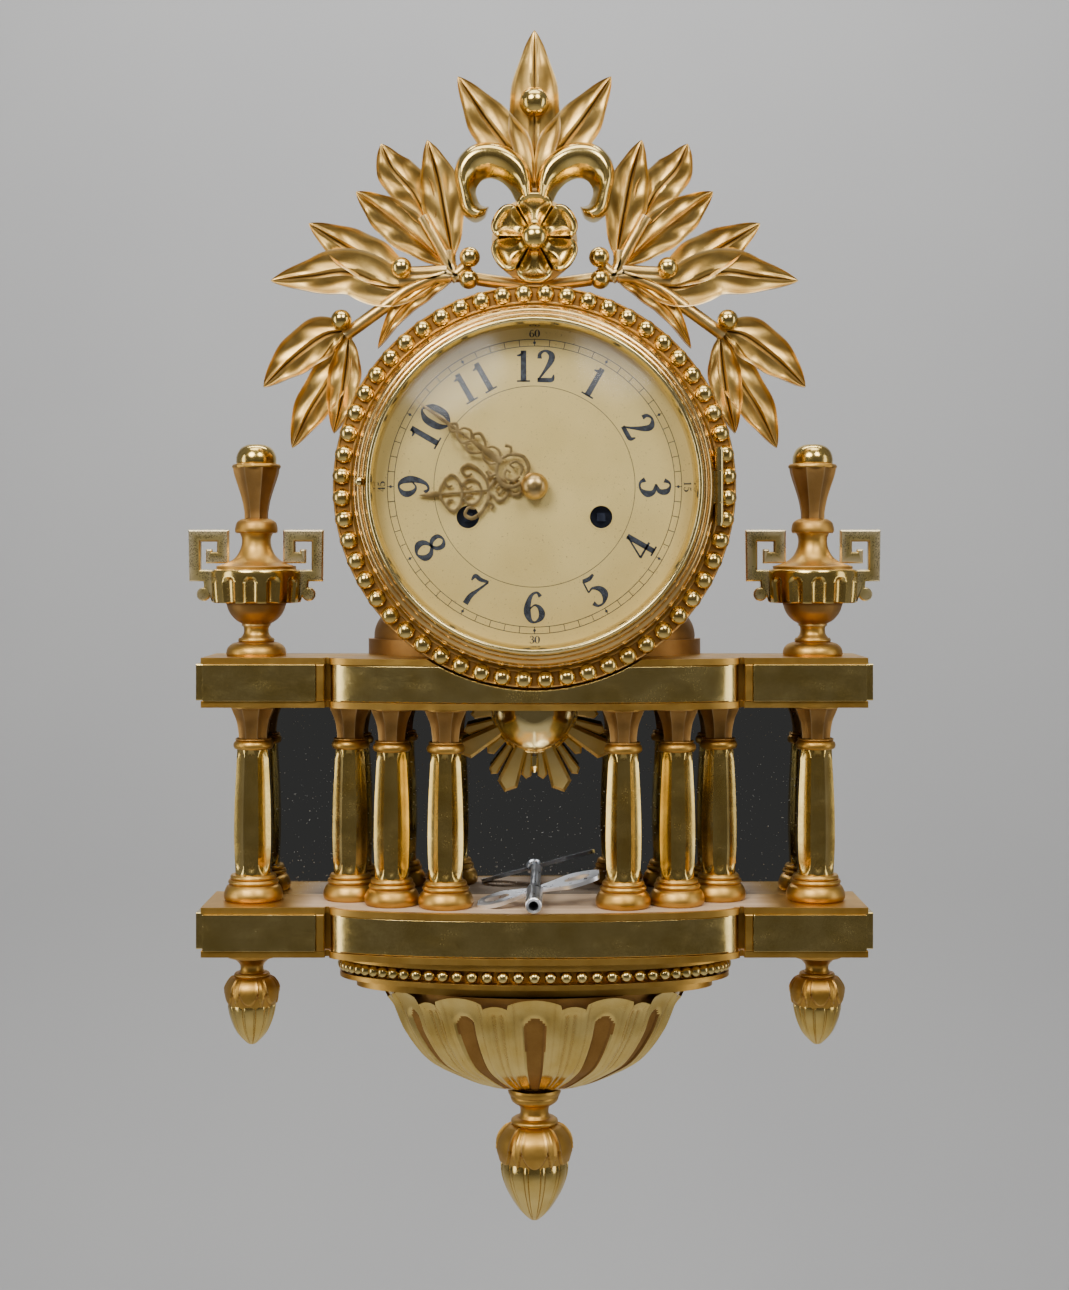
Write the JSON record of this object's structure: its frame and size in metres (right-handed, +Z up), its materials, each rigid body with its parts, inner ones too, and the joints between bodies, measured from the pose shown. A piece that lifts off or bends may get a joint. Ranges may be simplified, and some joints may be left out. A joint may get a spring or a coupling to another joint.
{
  "type": "wall clock",
  "caption": "Gilt carved wall clock: round dial with a hinged convex glass door over a mirrored colonnade with shelves, urns, leaf crest, bowl, pendulum and key.",
  "frame": {"origin": "centre of the hanging hole in the steel plate at the back of the drum case", "axes": "+Z up, +Y into the wall (the front faces -Y), +X to the viewer's right"},
  "size_m": [0.3542, 0.095, 0.6035],
  "materials": {
    "burnished_gilt": "burnished gold leaf over gesso, mirror-like with fine scratches",
    "satin_gilt": "satin bronze-gold paint",
    "bronze_gilt": "darker satin bronze paint",
    "leaf_gilt": "satin gold on carved wood with rubbed edges",
    "back_wood": "unpainted plywood",
    "mirror": "silvered glass",
    "polished_brass": "polished and lacquered",
    "clear_glass": "clear convex glass",
    "dial_enamel": "matte cream-tan lacquer with printed numerals",
    "hand_brass": "pierced and polished",
    "movement_brass": "brushed",
    "steel": "machined",
    "gong_steel": "blued spring steel",
    "cast_block": "as cast",
    "chrome_steel": "nickel plated"
  },
  "bodies": {
    "case": {"hanger_plate": "steel", "hanger_screws": "steel", "drum_case": "bronze_gilt", "front_ring": "satin_gilt", "ring_beads": "burnished_gilt", "back_board": "back_wood", "mirror_glass": "mirror", "upper_shelf": "satin_gilt", "upper_panels": "burnished_gilt", "end_columns": "burnished_gilt", "inner_columns": "burnished_gilt", "urns": "satin_gilt", "urn_handles": "burnished_gilt", "plinth": "bronze_gilt", "apron": "satin_gilt", "apron_beads": "burnished_gilt", "bowl": "burnished_gilt", "bowl_pendant": "satin_gilt", "small_pendants": "satin_gilt", "lower_panels": "burnished_gilt", "crest_block": "bronze_gilt", "palmette": "leaf_gilt", "crest_scrolls": "burnished_gilt", "rosette": "burnished_gilt", "spray_left": "leaf_gilt", "spray_right": "leaf_gilt", "crest_berries": "burnished_gilt", "hinge_pin": "polished_brass", "case_hinge_leaf": "polished_brass", "dial_plate": "dial_enamel", "front_plate": "movement_brass", "back_plate": "movement_brass", "plate_pillars": "steel", "gong": "gong_steel", "gong_block": "cast_block", "pendulum_cock": "steel", "lower_shelf": "satin_gilt"},
    "door": {"bezel_ring": "polished_brass", "glass": "clear_glass", "latch_knob": "polished_brass", "door_hinge_leaf": "polished_brass"},
    "minute_work": {"centre_arbor": "steel", "minute_hand": "hand_brass", "hand_nut": "hand_brass"},
    "hour_work": {"hour_wheel": "movement_brass", "hour_hand": "hand_brass"},
    "minute_wheel": {"minute_wheel": "movement_brass"},
    "third_wheel": {"third_wheel": "movement_brass"},
    "escape_wheel": {"escape_wheel": "movement_brass"},
    "going_barrel": {"going_barrel": "movement_brass"},
    "strike_barrel": {"strike_barrel": "movement_brass"},
    "going_arbor": {"going_arbor": "steel"},
    "strike_arbor": {"strike_arbor": "steel"},
    "pendulum": {"pendulum_rod": "steel", "pendulum_bob": "polished_brass", "rating_nut": "polished_brass"},
    "anchor": {"anchor": "steel"},
    "hammer": {"hammer": "steel"},
    "winding_key": {"winding_key": "chrome_steel"}
  },
  "joints": [
    {"name": "bezel_hinge", "type": "hinge", "parent": "case", "child": "door", "pos_m": [0.0903, -0.0712, -0.066], "axis": [0, 0, 1], "range_deg": [0, 115]},
    {"name": "minute_hand_turn", "type": "hinge", "parent": "case", "child": "minute_work", "pos_m": [0, -0.069, -0.066], "axis": [0, 1, 0], "continuous": true},
    {"name": "hour_hand_turn", "type": "hinge", "parent": "case", "child": "hour_work", "pos_m": [0, -0.069, -0.066], "axis": [0, 1, 0], "continuous": true},
    {"name": "minute_wheel_turn", "type": "hinge", "parent": "case", "child": "minute_wheel", "pos_m": [0, -0.062, -0.054], "axis": [0, 1, 0], "continuous": true},
    {"name": "third_wheel_turn", "type": "hinge", "parent": "case", "child": "third_wheel", "pos_m": [-0.0081, -0.049, -0.04992], "axis": [0, 1, 0], "continuous": true},
    {"name": "escape_wheel_turn", "type": "hinge", "parent": "case", "child": "escape_wheel", "pos_m": [0, -0.044, -0.039], "axis": [0, 1, 0], "continuous": true},
    {"name": "going_barrel_turn", "type": "hinge", "parent": "case", "child": "going_barrel", "pos_m": [0.03275, -0.049, -0.081], "axis": [0, 1, 0], "continuous": true},
    {"name": "strike_barrel_turn", "type": "hinge", "parent": "case", "child": "strike_barrel", "pos_m": [-0.03275, -0.049, -0.081], "axis": [0, 1, 0], "continuous": true},
    {"name": "going_wind", "type": "hinge", "parent": "case", "child": "going_arbor", "pos_m": [0.03275, -0.061, -0.081], "axis": [0, 1, 0], "continuous": true},
    {"name": "strike_wind", "type": "hinge", "parent": "case", "child": "strike_arbor", "pos_m": [-0.03275, -0.061, -0.081], "axis": [0, 1, 0], "continuous": true},
    {"name": "pendulum_swing", "type": "hinge", "parent": "case", "child": "pendulum", "pos_m": [0, -0.0185, -0.026], "axis": [0, 1, 0], "range_deg": [-4, 4]},
    {"name": "anchor_rock", "type": "hinge", "parent": "case", "child": "anchor", "pos_m": [0, -0.043, -0.026], "axis": [0, 1, 0], "range_deg": [-4, 4]},
    {"name": "hammer_lift", "type": "hinge", "parent": "case", "child": "hammer", "pos_m": [0.044, -0.03, -0.036], "axis": [0, 1, 0], "range_deg": [-22, 0], "stiffness_Nm_per_rad": 0.01, "springref_deg": 20.05},
    {"name": "key_lift", "type": "slide", "parent": "case", "child": "winding_key", "axis": [0, 0, 1], "range_m": [0, 0.03]}
  ],
  "couplings": [
    {"joint": "hour_hand_turn", "follows": "minute_hand_turn", "ratio": 0.083333},
    {"joint": "minute_wheel_turn", "follows": "minute_hand_turn", "ratio": -0.33333},
    {"joint": "third_wheel_turn", "follows": "minute_hand_turn", "ratio": -8},
    {"joint": "escape_wheel_turn", "follows": "minute_hand_turn", "ratio": 60},
    {"joint": "going_barrel_turn", "follows": "minute_hand_turn", "ratio": -0.16667},
    {"joint": "anchor_rock", "follows": "pendulum_swing", "ratio": 1}
  ]
}
